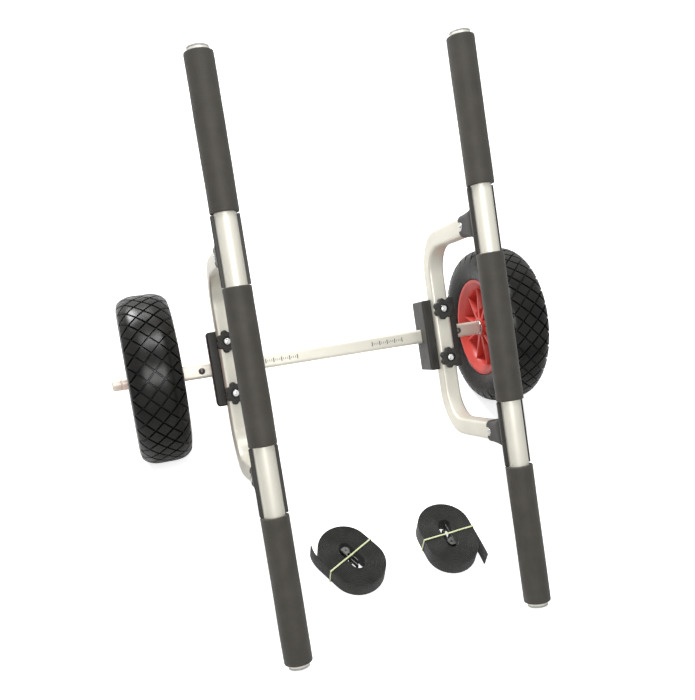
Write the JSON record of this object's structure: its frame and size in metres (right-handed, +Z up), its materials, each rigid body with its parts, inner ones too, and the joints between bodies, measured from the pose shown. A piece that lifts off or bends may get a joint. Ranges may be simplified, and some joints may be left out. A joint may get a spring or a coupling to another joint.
{
  "type": "kayak cart",
  "caption": "Two-wheeled kayak trolley: padded bunks on bent bows clamped to a square crossbar, red-hubbed diamond-tread wheels, rolled cam straps beside it.",
  "frame": {"origin": "middle of the footprint's bounding box, on the ground", "axes": "+X along the axle to the right, +Y away from the viewer, towards the raised ends of the bunks, +Z up; the cart stands tipped forward on its wheels and the lower ends of its bunks"},
  "size_m": [0.6908, 0.5854, 0.5925],
  "materials": {
    "aluminium": "satin anodised",
    "steel": "bright zinc or stainless",
    "black_plastic": "satin black moulding",
    "foam": "matt foam",
    "tyre": "black rubber",
    "hub": "red moulding",
    "webbing": "woven polyester",
    "rubber_band": "pale latex",
    "grey_plastic": "grey moulding"
  },
  "bodies": {
    "chassis": {"crossbar": "aluminium", "left_axle_carrier": "aluminium", "left_snap_spring": "steel", "left_axle": "steel", "left_axle_cap": "aluminium", "right_axle_carrier": "aluminium", "right_snap_spring": "steel", "right_axle": "steel", "right_axle_cap": "aluminium"},
    "left_wheel": {"left_tyre": "tyre", "left_hub": "hub", "left_outer_bearing": "steel", "left_inner_bearing": "steel"},
    "left_snap_button": {"left_snap_button": "steel"},
    "left_frame": {"left_clamp_block": "black_plastic", "left_bow": "aluminium", "left_bunk_tube": "aluminium", "left_middle_foam": "foam", "left_upper_foam": "foam", "left_lower_foam": "foam", "left_upper_plug": "grey_plastic", "left_lower_plug": "grey_plastic", "left_upper_bracket": "black_plastic", "left_lower_bracket": "black_plastic", "left_upper_bracket_bolt": "steel", "left_lower_bracket_bolt": "steel", "left_upper_clamp_bolt": "steel", "left_lower_clamp_bolt": "steel"},
    "left_upper_knob": {"left_upper_knob": "black_plastic"},
    "left_lower_knob": {"left_lower_knob": "black_plastic"},
    "left_strap": {"left_strap_webbing": "webbing", "left_cam_buckle": "steel", "left_rubber_band": "rubber_band"},
    "left_cam_lever": {"left_cam_lever": "steel"},
    "right_wheel": {"right_tyre": "tyre", "right_hub": "hub", "right_outer_bearing": "steel", "right_inner_bearing": "steel"},
    "right_snap_button": {"right_snap_button": "steel"},
    "right_frame": {"right_clamp_block": "black_plastic", "right_bow": "aluminium", "right_bunk_tube": "aluminium", "right_middle_foam": "foam", "right_upper_foam": "foam", "right_lower_foam": "foam", "right_upper_plug": "grey_plastic", "right_lower_plug": "grey_plastic", "right_upper_bracket": "black_plastic", "right_lower_bracket": "black_plastic", "right_upper_bracket_bolt": "steel", "right_lower_bracket_bolt": "steel", "right_upper_clamp_bolt": "steel", "right_lower_clamp_bolt": "steel"},
    "right_upper_knob": {"right_upper_knob": "black_plastic"},
    "right_lower_knob": {"right_lower_knob": "black_plastic"},
    "right_strap": {"right_strap_webbing": "webbing", "right_cam_buckle": "steel", "right_rubber_band": "rubber_band"},
    "right_cam_lever": {"right_cam_lever": "steel"}
  },
  "joints": [
    {"name": "left_wheel_spin", "type": "hinge", "parent": "chassis", "child": "left_wheel", "pos_m": [-0.284, 0.1659, 0.127], "axis": [1, 0, 0], "continuous": true},
    {"name": "left_snap_press", "type": "hinge", "parent": "chassis", "child": "left_snap_button", "pos_m": [-0.168, 0.16436, 0.12843], "axis": [0, -0.6798, -0.7334], "range_deg": [0, 7.2], "stiffness_Nm_per_rad": 0.6},
    {"name": "left_frame_slide", "type": "slide", "parent": "chassis", "child": "left_frame", "axis": [1, 0, 0], "range_m": [-0.009, 0.088]},
    {"name": "left_upper_knob_turn", "type": "hinge", "parent": "left_frame", "child": "left_upper_knob", "pos_m": [-0.1725, 0.1504, 0.19413], "axis": [0, -0.7334, 0.6798], "continuous": true},
    {"name": "left_lower_knob_turn", "type": "hinge", "parent": "left_frame", "child": "left_lower_knob", "pos_m": [-0.1725, 0.09778, 0.13736], "axis": [0, -0.7334, 0.6798], "continuous": true},
    {"name": "left_strap_lift", "type": "slide", "parent": "chassis", "child": "left_strap", "axis": [0, 0, 1], "range_m": [0, 0.3]},
    {"name": "left_cam_lever_swing", "type": "hinge", "parent": "left_strap", "child": "left_cam_lever", "pos_m": [-0.06619, -0.13727, 0.014], "axis": [0, 0, 1], "range_deg": [0, 9], "stiffness_Nm_per_rad": 0.05},
    {"name": "right_wheel_spin", "type": "hinge", "parent": "chassis", "child": "right_wheel", "pos_m": [0.284, 0.1659, 0.127], "axis": [1, 0, 0], "continuous": true},
    {"name": "right_snap_press", "type": "hinge", "parent": "chassis", "child": "right_snap_button", "pos_m": [0.168, 0.16436, 0.12843], "axis": [0, 0.6798, 0.7334], "range_deg": [0, 7.2], "stiffness_Nm_per_rad": 0.6},
    {"name": "right_frame_slide", "type": "slide", "parent": "chassis", "child": "right_frame", "axis": [-1, 0, 0], "range_m": [-0.009, 0.088]},
    {"name": "right_upper_knob_turn", "type": "hinge", "parent": "right_frame", "child": "right_upper_knob", "pos_m": [0.1725, 0.1504, 0.19413], "axis": [0, -0.7334, 0.6798], "continuous": true},
    {"name": "right_lower_knob_turn", "type": "hinge", "parent": "right_frame", "child": "right_lower_knob", "pos_m": [0.1725, 0.09778, 0.13736], "axis": [0, -0.7334, 0.6798], "continuous": true},
    {"name": "right_strap_lift", "type": "slide", "parent": "chassis", "child": "right_strap", "axis": [0, 0, 1], "range_m": [0, 0.3]},
    {"name": "right_cam_lever_swing", "type": "hinge", "parent": "right_strap", "child": "right_cam_lever", "pos_m": [0.08834, -0.16111, 0.014], "axis": [0, 0, 1], "range_deg": [0, 9], "stiffness_Nm_per_rad": 0.05}
  ]
}
